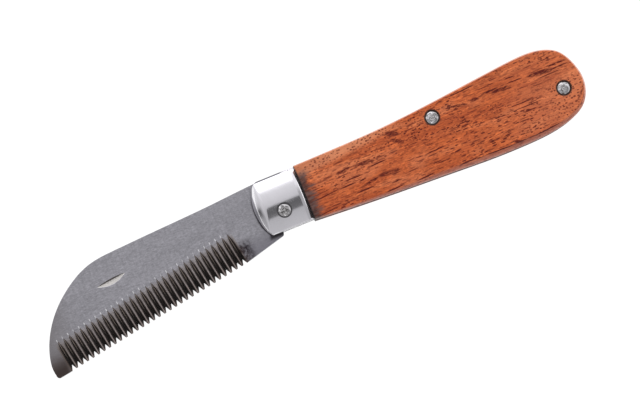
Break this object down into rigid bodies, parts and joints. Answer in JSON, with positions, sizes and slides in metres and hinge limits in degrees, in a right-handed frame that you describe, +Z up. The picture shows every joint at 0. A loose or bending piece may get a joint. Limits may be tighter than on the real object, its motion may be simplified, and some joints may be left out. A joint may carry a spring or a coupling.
{
  "type": "folding thinning knife",
  "caption": "Folding slip-joint knife with a comb-toothed thinning blade, polished bolsters, wooden scales and a backspring.",
  "frame": {"origin": "middle of the open knife's bounding box, on the plane that the rear scale lies on", "axes": "+X along the handle from the blade's tip toward the butt, +Y toward the handle's back, +Z up through the thickness from the rear scale to the front scale"},
  "size_m": [0.187, 0.0384, 0.014],
  "materials": {
    "blade_steel": "fine satin grind with light patina, darkened tooth grooves",
    "spring_steel": "ground spring steel",
    "liner_steel": "ground sheet steel",
    "polished_bolster": "polished, with fine use scratches",
    "scale_wood": "reddish orange-brown open-pored hardwood, oiled",
    "pin_metal": "peened and ground flush",
    "rosette_metal": "polished, lightly hammered"
  },
  "bodies": {
    "handle": {"front_liner": "liner_steel", "rear_liner": "liner_steel", "front_bolster": "polished_bolster", "rear_bolster": "polished_bolster", "front_scale": "scale_wood", "rear_scale": "scale_wood", "pivot_pin": "pin_metal", "centre_pin": "pin_metal", "butt_pin": "pin_metal", "front_pivot_rosette": "rosette_metal", "rear_pivot_rosette": "rosette_metal", "front_centre_rosette": "rosette_metal", "rear_centre_rosette": "rosette_metal", "front_butt_rosette": "rosette_metal", "rear_butt_rosette": "rosette_metal", "front_bolster_rivets": "pin_metal", "rear_bolster_rivets": "pin_metal"},
    "blade": {"blade": "blade_steel"},
    "backspring": {"backspring": "spring_steel"}
  },
  "joints": [
    {"name": "blade_pivot", "type": "hinge", "parent": "handle", "child": "blade", "pos_m": [-0.0082, 0.00247, 0.007], "axis": [0, 0, 1], "range_deg": [0, 167.5]},
    {"name": "backspring_flex", "type": "hinge", "parent": "handle", "child": "backspring", "pos_m": [0.0451, 0.01167, 0.007], "axis": [0, 0, -1], "range_deg": [0, 0.8], "stiffness_Nm_per_rad": 1, "deforming": ["backspring"]}
  ]
}
